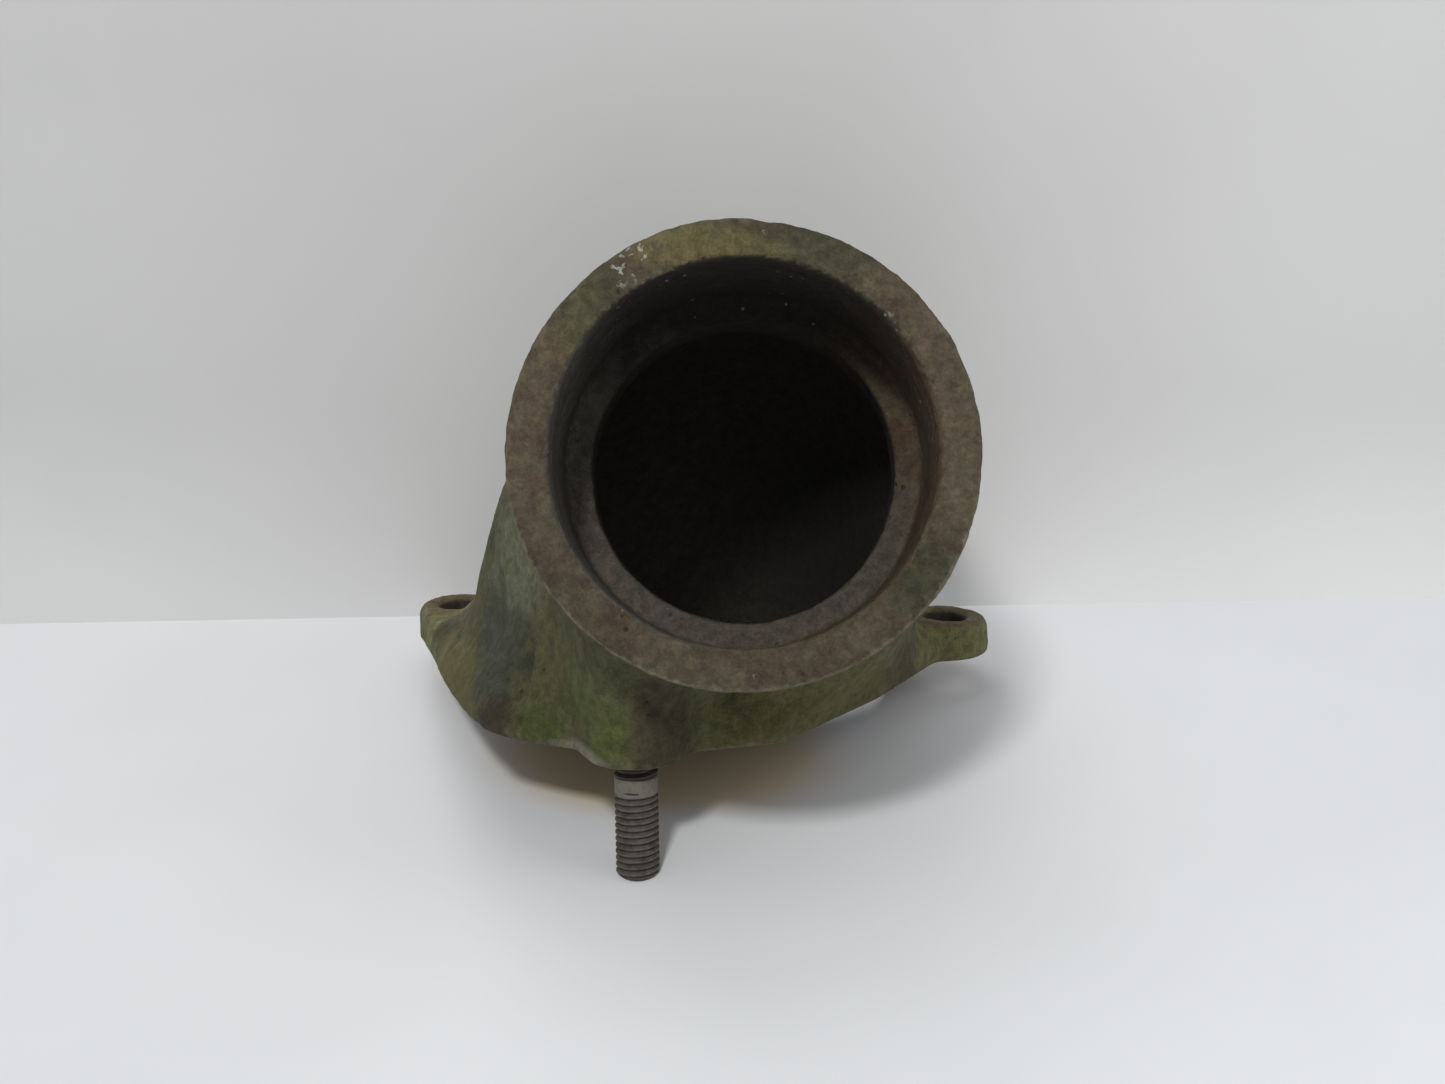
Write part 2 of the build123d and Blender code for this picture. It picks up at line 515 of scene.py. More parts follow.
@dataclass(frozen=True)
class CastingFinish:
    """Rust, grime and worn green paint on rough cast iron, with painted shade in hollows, on the
    rim's lower half, in the socket and the bore, and painted glints on the rim.
    """

    mouth: Mouth
    olive: Colour = chip(87, 84, 53)
    moss: Colour = chip(74, 75, 48)
    slate: Colour = chip(60, 62, 50)
    ochre: Colour = chip(99, 91, 48)
    bright_green: Colour = chip(73, 80, 38)
    lug_olive: Colour = chip(120, 119, 77)
    lug_brown: Colour = chip(106, 92, 67)
    earth: Colour = chip(57, 48, 35)
    rim_brown: Colour = chip(87, 77, 60)
    rim_rust: Colour = chip(78, 65, 52)
    rim_green: Colour = chip(58, 63, 43)
    rim_ochre: Colour = chip(105, 95, 57)
    edge_line: Colour = chip(116, 107, 82)
    hole: Colour = chip(62, 56, 50)
    plum: Colour = chip(90, 75, 65)
    # Painted shade deep in the bore.
    bore_shade_tone: Colour = chip(18, 17, 14)
    chalky: Colour = chip(104, 107, 84)
    # Painted shade for the top of the socket's wall.
    socket_top_shade: Colour = chip(30, 27, 23)
    # The bore's tones are darkened as painted shade.
    bore_brown_and_shade: Colour = chip(44, 41, 34)
    bore_rust_and_shade: Colour = chip(47, 39, 31)
    throat_rust: Colour = chip(84, 66, 50)
    throat_slate: Colour = chip(80, 76, 69)
    throat_ledge: Colour = chip(85, 78, 69)
    under_rust: Colour = chip(130, 98, 64)
    bare: Colour = chip(130, 125, 110)
    # Light specks: dust, and painted glints on the rim.
    dust_and_painted_light: Colour = chip(150, 152, 142)

    def dress(self, piece: bpy.types.Object) -> None:
        """Give the finish to the casting.

        Args:
            piece: The casting, which has the attributes inside, edge and hollow.
        """
        bench = Bench("rusted_green_casting")
        at = bench.place()
        inside = bench.attribute("inside")
        edge = bench.attribute("edge")
        hollow = bench.attribute("hollow")
        offset = bench.vector("SUBTRACT", at, tuple(self.mouth.centre / MM))
        depth = bench.vector("DOT_PRODUCT", offset, tuple(self.mouth.outward), key="Value")
        across = bench.vector("DOT_PRODUCT", offset, tuple(self.mouth.across), key="Value")
        upward = bench.vector("DOT_PRODUCT", offset, tuple(self.mouth.upward), key="Value")
        face_at = bench.out(bench.node("ShaderNodeCombineXYZ", {}, {
            0: across, 1: upward, 2: depth}))
        grit = bench.noise(at, 0.7, 3, 0.6)
        mottle = bench.noise(at, 3.2, 5, 0.62)
        blotch = bench.noise(at, 11, 4, 0.6)
        cloud = bench.noise(at, 34, 3, 0.55)
        skin = self.flank(bench, at, mottle, blotch, cloud)
        rim = self.rim(bench, at, face_at, mottle, blotch)
        radius = (across * across + upward * upward) ** 0.5
        on_rim = bench.rise(depth + (mottle - 0.5) * 3.0, -4.2, -2.2) * (1 - inside)
        line = bench.rise(radius + (mottle - 0.5) * 1.6, 61.3, 61.9)
        rim = bench.mix(rim, self.edge_line, line * bench.rise(upward, 6, -24) * 0.75)
        # Painted shade: the rim's lower half is darkened.
        rim = bench.shade(rim, 1.0, 0.82, bench.rise(upward, 0, -34))
        colour = bench.mix(skin, rim, on_rim)
        throat = self.throat(bench, at, face_at, depth, mottle, blotch)
        colour = bench.mix(colour, throat, inside)
        pits = bench.rise(bench.cells(at, 4.6), 0.17, 0.07) * bench.rise(blotch, 0.5, 0.62)
        colour = bench.shade(colour, 0.72, 1.26, bench.rise(mottle, 0.3, 0.7))
        colour = bench.shade(colour, 0.82, 1.18, bench.rise(grit, 0.3, 0.7))
        colour = bench.shade(colour, 1.0, 0.42, pits)
        # Painted shade: the outer skin is darker in its hollows.
        colour = bench.shade(colour, 1.0, 0.76, bench.rise(hollow, 0.25, 0.9) * (1 - inside))
        worn = bench.rise(edge + (mottle - 0.5) * 1.3, 0.75, 1.1) * (1 - inside)
        colour = bench.mix(colour, self.bare, worn * 0.14)
        height = bench.noise(at, 1.5, 5, 0.68) * 0.55 + mottle * 0.5 - pits * 0.5
        wet = bench.rise(bench.noise(at, 9, 2, 0.5), 0.52, 0.66)
        rough = 0.86 - 0.22 * wet * (1 - inside) - 0.16 * on_rim * bench.rise(mottle, 0.55, 0.7)
        bench.surface(piece, {
            "Base Color": colour,
            "Roughness": rough,
            "Specular IOR Level": 0.35,
            "Normal": bench.bump(grit, 0.00026, bench.bump(height, 0.0010)),
        })

    def flank(self, bench: Bench, at: Wire, mottle: Wire, blotch: Wire, cloud: Wire) -> Wire:
        """Colour the outside of the flange, skirt and bend.

        Args:
            bench: The material.
            at: Point in millimetres.
            mottle: Fine pattern.
            blotch: Middle pattern.
            cloud: Broad pattern.

        Returns:
            The colour.
        """
        _, rearward, height = bench.split(at)
        colour = bench.mix(self.olive, self.moss, bench.rise(cloud, 0.38, 0.6))
        colour = bench.mix(colour, self.earth, bench.rise(blotch, 0.54, 0.72) * 0.55)
        high = bench.rise(height, 42, 60) | bench.rise(rearward, -40, 0)
        worn_off = bench.rise(bench.noise(at, 26, 5, 0.66), 0.5, 0.58)
        colour = bench.mix(colour, self.rim_rust, worn_off * high * 0.6)
        scuffs = bench.rise(bench.noise(at, 13, 6, 0.7), 0.57, 0.63)
        colour = bench.mix(colour, self.ochre, scuffs * high * 0.5)
        scallop = bench.patch(at, (-48, -58, 24), (14, 28, 23), blotch, 0.6)
        colour = bench.mix(colour, self.slate, scallop * 0.85)
        shoulder = bench.patch(at, (-41, -52, 52), (18, 24, 18), blotch, 0.8)
        colour = bench.mix(colour, self.chalky, shoulder * 0.55)
        band = bench.patch(at, (-68, -36, 6), (19, 42, 11), blotch, 0.6)
        colour = bench.mix(colour, self.ochre, band * 0.75)
        right = bench.patch(at, (58, -60, 14), (42, 46, 22), blotch, 0.8)
        colour = bench.mix(colour, self.ochre, right * 0.35)
        green = (bench.patch(at, (-29, -83, 6), (10, 9, 7), mottle, 0.9)
                 | bench.patch(at, (-6, -102, 10), (9, 9, 9), mottle, 0.9)
                 | bench.patch(at, (-16, -95, 18), (9, 12, 9), blotch, 0.9))
        colour = bench.mix(colour, self.bright_green, green * 0.9)
        flecks = bench.rise(bench.noise(at, 7, 5, 0.7), 0.6, 0.68)
        colour = bench.mix(colour, self.bright_green, flecks * 0.35)
        brown = bench.patch(at, (9, -98, 14), (9, 16, 22), blotch, 0.8)
        colour = bench.mix(colour, self.earth, brown * 0.8)
        corner = bench.patch(at, (-46, -78, 5), (9, 8, 8), mottle, 0.7)
        colour = bench.mix(colour, self.earth, corner * 0.8)
        ears = bench.pair(at, (84, 31.5, 12), (19, 19, 9), mottle)
        ears = ears * bench.rise(height, 10.6, 12)
        lugs = bench.pair(at, (84, 29, 6), (22, 26, 14), blotch)
        colour = bench.mix(colour, self.lug_olive, lugs * 0.75)
        colour = bench.mix(colour, self.lug_brown, ears * 0.8)
        holes = bench.pair(at, (84.1, 31.5, 3), (9.6, 9.6, 14), soft=0.1)
        colour = bench.mix(colour, self.hole, holes)
        lobe = bench.patch(at, (-16, -94, 1), (11, 12, 3.4), mottle, 0.6)
        colour = bench.mix(colour, self.bare, lobe * 0.75)
        under = bench.rise(height + (mottle - 0.5) * 0.6, 0.7, 0.2)
        colour = bench.mix(colour, self.under_rust, under * 0.85)
        return bench.shade(colour, 0.8, 1.12, bench.rise(cloud, 0.35, 0.65))

    def rim(self, bench: Bench, at: Wire, face_at: Wire, mottle: Wire, blotch: Wire) -> Wire:
        """Colour the socket's end face.

        Args:
            bench: The material.
            at: Point in millimetres.
            face_at: Point across, up and out of the face.
            mottle: Fine pattern.
            blotch: Middle pattern.

        Returns:
            The colour.
        """
        colour = bench.mix(self.rim_brown, self.rim_rust, bench.rise(blotch, 0.45, 0.66))
        plummy = bench.rise(bench.noise(at, 6, 4), 0.55, 0.7)
        colour = bench.mix(colour, self.plum, plummy * 0.5)
        green = (bench.patch(face_at, (22, 56, 0), (26, 9, 9), blotch, 0.9)
                 | bench.patch(face_at, (-40, 43, 0), (11, 11, 9), blotch, 0.9)
                 | bench.patch(face_at, (-18, 60, 0), (20, 5, 9), mottle, 0.9)
                 | bench.patch(face_at, (46, -32, 0), (9, 11, 9), blotch, 0.9))
        colour = bench.mix(colour, self.rim_green, green * 0.7)
        ochre = (bench.patch(face_at, (-9, 54, 0), (20, 6, 9), blotch, 0.9)
                 | bench.patch(face_at, (-43, 32, 0), (6, 14, 9), blotch, 0.9) * 0.3)
        colour = bench.mix(colour, self.rim_ochre, ochre * 0.6)
        # Painted highlights: light specks at the rim's upper left stand for glints; scattered specks
        # elsewhere are dust.
        specks = bench.rise(bench.noise(at, 2, 3, 0.6), 0.56, 0.64)
        painted_glints = (bench.patch(face_at, (-30.6, 48.6, 0), (3.6, 4.4, 9), mottle, 0.6)
                 | bench.patch(face_at, (-27.4, 53.4, 0), (3.2, 4.4, 9), mottle, 0.6))
        return bench.mix(colour, self.dust_and_painted_light, specks * (painted_glints | bench.rise(blotch, 0.66, 0.72) * 0.5))

    def throat(self, bench: Bench, at: Wire, face_at: Wire, depth: Wire, mottle: Wire,
               blotch: Wire) -> Wire:
        """Colour the socket's wall, its ledge and the bore behind it, with painted shade at the
        wall's top and in the bore.

        Args:
            bench: The material.
            at: Point in millimetres.
            face_at: Point across, up and out of the face.
            depth: Distance out of the face.
            mottle: Fine pattern.
            blotch: Middle pattern.

        Returns:
            The colour.
        """
        across, upward, _ = bench.split(face_at)
        rings = bench.noise(bench.vector("MULTIPLY", face_at, (0.04, 0.04, 1.0)), 3.2, 4.0, 0.6)
        rusty = bench.mix(self.throat_rust, self.rim_brown, bench.rise(blotch, 0.42, 0.62))
        rightward = bench.rise(across + (blotch - 0.5) * 40.0, -30, 24)
        wall = bench.mix(self.throat_slate, rusty, rightward)
        wall = bench.shade(wall, 0.74, 1.08, bench.rise(rings, 0.35, 0.62))
        # Painted shade: the socket's wall is darkened towards its top.
        top_shade = bench.rise(upward + (blotch - 0.5) * 30.0, 16, 44)
        wall = bench.mix(wall, self.socket_top_shade, top_shade * 0.9)
        ledge = bench.rise(depth, -50.4, -51.4)
        low = bench.rise(upward + (mottle - 0.5) * 16.0, 14, -26)
        worn = bench.mix(self.throat_ledge, self.throat_slate, bench.rise(blotch, 0.5, 0.66))
        wall = bench.mix(wall, worn, ledge * low)
        # Painted shade: the bore's tones are dark, and darker still in a soft patch deep in the bend.
        bore = bench.mix(self.bore_brown_and_shade, self.bore_rust_and_shade, bench.rise(blotch, 0.5, 0.66) * 0.5)
        bore_shade = bench.patch(at, (45, 38, 26), (40, 36, 46), soft=1.6)
        bore = bench.mix(bore, self.bore_shade_tone, bore_shade * 0.8)
        specks = bench.rise(bench.cells(at, 3.1), 0.2, 0.12) * bench.rise(blotch, 0.56, 0.62)
        wall = bench.mix(wall, self.dust_and_painted_light, specks * 0.6)
        return bench.mix(bore, wall, bench.rise(depth, -54.5, -52.2))


@dataclass
class Casting:
    """The one-piece elbow: flange, skirt, bend and socket, with its cast skin."""

    mouth: Mouth
    node: str = "elbow_casting"
    voxel: float = 1.15 * MM
    triangles: int = 190_000
    bend_radius: float = 78 * MM
    bend_turn: float = 7.6
    bend_end: float = 74.0
    bend_shift: float = 19 * MM
    ear_x: float = 84.1 * MM
    ear_y: float = 31.5 * MM

    def build(self) -> bpy.types.Object:
        """Make the piece and dress it.

        Returns:
            The casting.
        """
        piece = self.solid()
        for step in (self.melt_fillets, self.press_scallop, self.round_corner, self.fill_sides,
                     self.wear_mouth, self.roughen, self.note_surface, self.thin):
            step(piece)
            LOG.info("%s: %s", piece.name, step.__name__)
        CastingFinish(self.mouth).dress(piece)
        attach(piece, "root")
        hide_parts(self.node)
        return piece

    def solid(self) -> bpy.types.Object:
        """Copy the frame's solid, close it and give it an even mesh.

        Returns:
            The new piece.
        """
        mesh = frame["nodes"][self.node].data.copy()
        piece = bpy.data.objects.new("casting", mesh)
        bpy.context.scene.collection.objects.link(piece)
        Workshop.open(piece)
        bpy.ops.mesh.select_all(action="SELECT")
        bpy.ops.mesh.remove_doubles(threshold=1e-6)
        Workshop.close()
        self.even(piece)
        return piece

    def even(self, piece: bpy.types.Object) -> None:
        """Give the casting an even mesh and mark its wetted surfaces.

        Args:
            piece: The casting.
        """
        piece.vertex_groups.clear()
        Workshop.apply(piece, "REMESH", mode="VOXEL", voxel_size=self.voxel, adaptivity=0.0)
        Workshop.apply(piece, "SMOOTH", factor=0.5, iterations=3)
        self.mark_inside(piece)

    def centreline(self) -> tuple[Rows, Rows]:
        """Trace the flow's centreline from the port to the mouth.

        Returns:
            Its points, and at each one the radius halfway through the wall.
        """
        turn = math.radians(self.bend_turn)
        points, halfway = [], []
        for step in np.linspace(0.0, 1.0, 38):
            angle = math.radians(self.bend_end * step)
            shift = self.bend_shift * step * step * (3 - 2 * step)
            out = self.bend_radius * (1 - math.cos(angle))
            points.append((shift + out * math.sin(turn), -out * math.cos(turn),
                           self.bend_radius * math.sin(angle)))
            halfway.append(float(np.interp(self.bend_end * step, (0, 36, 50, 62, 74),
                                           (66.5, 66.2, 64.0, 58.8, 52.2))) * MM)
        for back in np.linspace(70 * MM, -6 * MM, 39):
            points.append(tuple(self.mouth.centre - self.mouth.outward * back))
            halfway.append((52.0 if back > 53 * MM else 56.6) * MM)
        return np.array(points), np.array(halfway)

    def mark_inside(self, piece: bpy.types.Object) -> None:
        """Keep on the mesh which vertices are wetted surfaces: 1 in the passage, 0 outside.

        Args:
            piece: The casting.
        """
        points = Workshop.points(piece)
        line, halfway = self.centreline()
        best = np.full(len(points), 9.0)
        wall = np.zeros(len(points))
        towards = np.zeros(points.shape)
        for spot, radius in zip(line, halfway):
            reach = np.linalg.norm(points - spot, axis=1)
            nearer = reach < best
            best = np.where(nearer, reach, best)
            wall = np.where(nearer, radius, wall)
            towards[nearer] = (spot - points)[nearer]
        facing = (Workshop.normals(piece) * towards).sum(axis=1) > 0
        wetted = (best < wall - 3 * MM) | (facing & (best < wall + 4 * MM))
        wetted &= self.mouth.depth(points) < -0.8 * MM
        piece.data.attributes.new("inside", "FLOAT", "POINT").data.foreach_set(
            "value", wetted.astype(np.float32))

    def inside(self, piece: bpy.types.Object) -> Rows:
        """Return the mark of the wetted surfaces for each vertex."""
        marks = np.empty(len(piece.data.vertices), np.float32)
        piece.data.attributes["inside"].data.foreach_get("value", marks)
        return marks

    def melt_fillets(self, piece: bpy.types.Object) -> None:
        """Round the junctions between flange, skirt, buttress and bend into cast fillets.

        Args:
            piece: The casting.
        """
        points = Workshop.points(piece)
        ears = np.minimum(
            np.hypot(points[:, 0] - self.ear_x, points[:, 1] - self.ear_y),
            np.hypot(points[:, 0] + self.ear_x, points[:, 1] - self.ear_y))
        rear = ease(points[:, 2], 30 * MM, 18 * MM) * ease(points[:, 1], -2 * MM, 20 * MM)
        weights = (ease(points[:, 2], 2.5 * MM, 8 * MM) * ease(ears, 15.5 * MM, 26 * MM)
                   * (1 - rear)
                   * ease(self.mouth.depth(points), -9 * MM, -20 * MM)
                   * (1 - self.inside(piece)))
        group = Workshop.weigh(piece, "fillets", weights)
        Workshop.apply(piece, "SMOOTH", factor=0.9, iterations=240, vertex_group=group)
        self.even(piece)
        points = Workshop.points(piece)
        outside = (ease(points[:, 2], 1 * MM, 3 * MM)
                   * ease(self.mouth.depth(points), -4 * MM, -9 * MM)
                   * (1 - self.inside(piece)))
        group = Workshop.weigh(piece, "outside", outside)
        Workshop.apply(piece, "SMOOTH", factor=0.8, iterations=12, vertex_group=group)

    def press_scallop(self, piece: bpy.types.Object) -> None:
        """Press the shallow scallop into the left flank, with its upright crease.

        Args:
            piece: The casting.
        """
        points = Workshop.points(piece)
        across = points[:, 0] / MM
        bowl = ease(across, -32.6, -35.4) * ease(across, -64.0, -38.0)
        weights = (bowl * ease(points[:, 2], 6 * MM, 15 * MM) * ease(points[:, 2], 58 * MM, 30 * MM)
                   * ease(points[:, 1], -24 * MM, -42 * MM) * (1 - self.inside(piece)))
        group = Workshop.weigh(piece, "scallop", weights)
        Workshop.apply(piece, "DISPLACE", strength=-1.9 * MM, mid_level=0.0, vertex_group=group)

    def round_corner(self, piece: bpy.types.Object) -> None:
        """Round off the flange's left front corner.

        Args:
            piece: The casting.
        """
        points = Workshop.points(piece)
        low = ease(points[:, 2], 22 * MM, 10 * MM)
        corner = np.hypot(points[:, 0] + 56 * MM, points[:, 1] + 77 * MM)
        group = Workshop.weigh(piece, "corner", ease(corner, 15 * MM, 4 * MM) * low)
        Workshop.apply(piece, "DISPLACE", strength=-1.8 * MM, mid_level=0.0, vertex_group=group)
        group = Workshop.weigh(piece, "round", ease(corner, 26 * MM, 10 * MM) * low)
        Workshop.apply(piece, "SMOOTH", factor=0.9, iterations=20, vertex_group=group)

    def fill_sides(self, piece: bpy.types.Object) -> None:
        """Swell the flange's left edge and the neck above the right ear.

        Args:
            piece: The casting.
        """
        points = Workshop.points(piece)
        side = np.hypot(points[:, 0] + 74 * MM, (points[:, 1] + 27 * MM) / 1.6)
        group = Workshop.weigh(piece, "side", ease(side, 22 * MM, 4 * MM)
                               * ease(points[:, 2], 16 * MM, 9 * MM))
        Workshop.apply(piece, "DISPLACE", strength=0.7 * MM, mid_level=0.0, vertex_group=group)
        neck = np.linalg.norm(points - np.array((68.0, 22.0, 26.0)) * MM, axis=1)
        group = Workshop.weigh(piece, "neck", ease(neck, 30 * MM, 8 * MM)
                               * (1 - self.inside(piece)) * ease(points[:, 2], 10 * MM, 16 * MM))
        Workshop.apply(piece, "DISPLACE", strength=2.8 * MM, mid_level=0.0, vertex_group=group)

    def wear_mouth(self, piece: bpy.types.Object) -> None:
        """Wear the rim uneven, round its edges, and turn shallow rings into the socket's wall.

        Args:
            piece: The casting.
        """
        points = Workshop.points(piece)
        depth = self.mouth.depth(points) / MM
        radius = self.mouth.radius(points) / MM
        clock = self.mouth.clock(points)
        near = ease(depth, -14.0, -7.0)
        corner = ease(np.abs(depth), 2.2, 0.6) * (ease(np.abs(radius - 62.3), 2.2, 0.8)
                                                  + ease(np.abs(radius - 52.0), 2.2, 0.8))
        group = Workshop.weigh(piece, "corners", corner)
        Workshop.apply(piece, "SMOOTH", factor=0.5, iterations=10, vertex_group=group)
        flat = ease(clock, 2.0, 5.0) * ease(clock, 75.0, 45.0)
        outer = near * ease(radius, 58.0, 61.0)
        group = Workshop.weigh(piece, "worn_side", outer * flat)
        Workshop.apply(piece, "DISPLACE", strength=-0.55 * MM, mid_level=0.0, vertex_group=group)
        group = Workshop.weigh(piece, "rim", outer)
        Workshop.apply(piece, "DISPLACE", strength=0.55 * MM, mid_level=0.5, vertex_group=group,
                       texture_coords="LOCAL", texture=Workshop.clouds(6 * MM, 2))
        socket = ease(radius, 54.0, 52.5) * ease(depth, -50.5, -48.0)
        rings = socket * (ease(np.abs(depth + 9.0), 1.5, 0.5)
                          + 0.6 * ease(np.abs(depth + 24.0), 1.2, 0.5))
        group = Workshop.weigh(piece, "rings", rings)
        Workshop.apply(piece, "DISPLACE", strength=-0.7 * MM, mid_level=0.0, vertex_group=group)

    def roughen(self, piece: bpy.types.Object) -> None:
        """Raise the sand-cast skin: broad lumps, a pebbled grain, and pits.

        Args:
            piece: The casting.
        """
        points = Workshop.points(piece)
        inside = self.inside(piece)
        machined = ease(points[:, 2], 1.2 * MM, 3.0 * MM)
        socket = 1 - 0.65 * inside * ease(self.mouth.depth(points), -54 * MM, -52 * MM)
        group = Workshop.weigh(piece, "skin", machined * socket)
        for size, depth, strength, hard in ((26, 2, 1.1, False), (7, 2, 0.45, False),
                                            (2.6, 1, 0.24, True)):
            Workshop.apply(piece, "DISPLACE", strength=strength * MM, mid_level=0.5,
                           vertex_group=group, texture_coords="LOCAL",
                           texture=Workshop.clouds(size * MM, depth, hard))

    def thin(self, piece: bpy.types.Object) -> None:
        """Drop the triangles that flat areas don't need.

        Args:
            piece: The casting.
        """
        Workshop.apply(piece, "TRIANGULATE")
        Workshop.apply(piece, "DECIMATE", ratio=self.triangles / len(piece.data.polygons))
        piece.vertex_groups.clear()
        Workshop.only(piece)
        bpy.ops.object.shade_smooth()

    def note_surface(self, piece: bpy.types.Object) -> None:
        """Keep on the mesh what the finish reads: inside or out, sharp edges and hollows.

        Args:
            piece: The casting.
        """
        mesh = piece.data
        points = Workshop.points(piece)
        ends = np.empty(len(mesh.edges) * 2, int)
        mesh.edges.foreach_get("vertices", ends)
        ends = ends.reshape(-1, 2)
        both = np.concatenate((ends, ends[:, ::-1]))
        count = np.bincount(both[:, 0], minlength=len(points))[:, None]
        soft = points
        for _ in range(14):
            total = np.stack([np.bincount(both[:, 0], soft[both[:, 1], axis], len(points))
                              for axis in range(3)], axis=1)
            soft = total / count
        proud = ((points - soft) * Workshop.normals(piece)).sum(axis=1) / MM
        for name, values in (("edge", np.clip(proud / 0.9, 0, 1)),
                             ("hollow", np.clip(-proud / 0.9, 0, 1))):
            mesh.attributes.new(name, "FLOAT", "POINT").data.foreach_set(
                "value", values.astype(np.float32))


@dataclass(frozen=True)
class StudFinish:
    """Dull worn steel, with rust and old grease in the thread, and painted shade on the thread just
    under the flange.
    """

    axis_x: float
    axis_y: float
    steel: Colour = chip(94, 90, 82)
    bright: Colour = chip(112, 108, 98)
    rust: Colour = chip(62, 50, 40)
    grease_and_shade: Colour = chip(32, 29, 26)

    def dress(self, piece: bpy.types.Object) -> None:
        """Give the finish to the stud.

        Args:
            piece: The stud.
        """
        bench = Bench("worn_stud_steel")
        at = bench.place()
        offset = bench.vector("SUBTRACT", at, (self.axis_x / MM, self.axis_y / MM, 0.0))
        level = bench.vector("MULTIPLY", offset, (1.0, 1.0, 0.0))
        radius = bench.vector("LENGTH", level, key="Value")
        height = bench.split(offset)[2]
        mottle = bench.noise(at, 1.6, 4, 0.6)
        blotch = bench.noise(at, 5, 3, 0.6)
        root = bench.rise(radius + (mottle - 0.5) * 0.5, 6, 5.3)
        colour = bench.mix(self.steel, self.rust, bench.rise(blotch, 0.5, 0.66) * 0.6)
        shank = bench.rise(height, -11.2, -10.6) * bench.rise(height, -5.4, -6)
        colour = bench.mix(colour, self.bright, shank * (0.95 - 0.4 * bench.rise(mottle, 0.52, 0.66)))
        colour = bench.mix(colour, self.grease_and_shade, root * 0.62)
        # Painted shade: the thread just under the flange is darkened in the grease colour.
        upper = bench.rise(height, -5.9, -4.9)
        colour = bench.mix(colour, self.grease_and_shade, upper * 0.7)
        dash = bench.patch(offset, (-0.4, -6.3, -9.6), (2.2, 1.2, 0.35), mottle, 0.5)
        colour = bench.mix(colour, self.grease_and_shade, dash * 0.9)
        colour = bench.shade(colour, 0.85, 1.15, bench.rise(mottle, 0.35, 0.65))
        scratch = bench.noise(bench.vector("MULTIPLY", at, (1.0, 1.0, 6.0)), 1.2, 3.0)
        bench.surface(piece, {
            "Base Color": colour,
            "Metallic": 0.3 - 0.28 * root,
            "Roughness": 0.52 + 0.3 * root + 0.1 * mottle,
            "Normal": bench.bump(scratch * 0.5 + mottle * 0.5, 0.00012),
        })


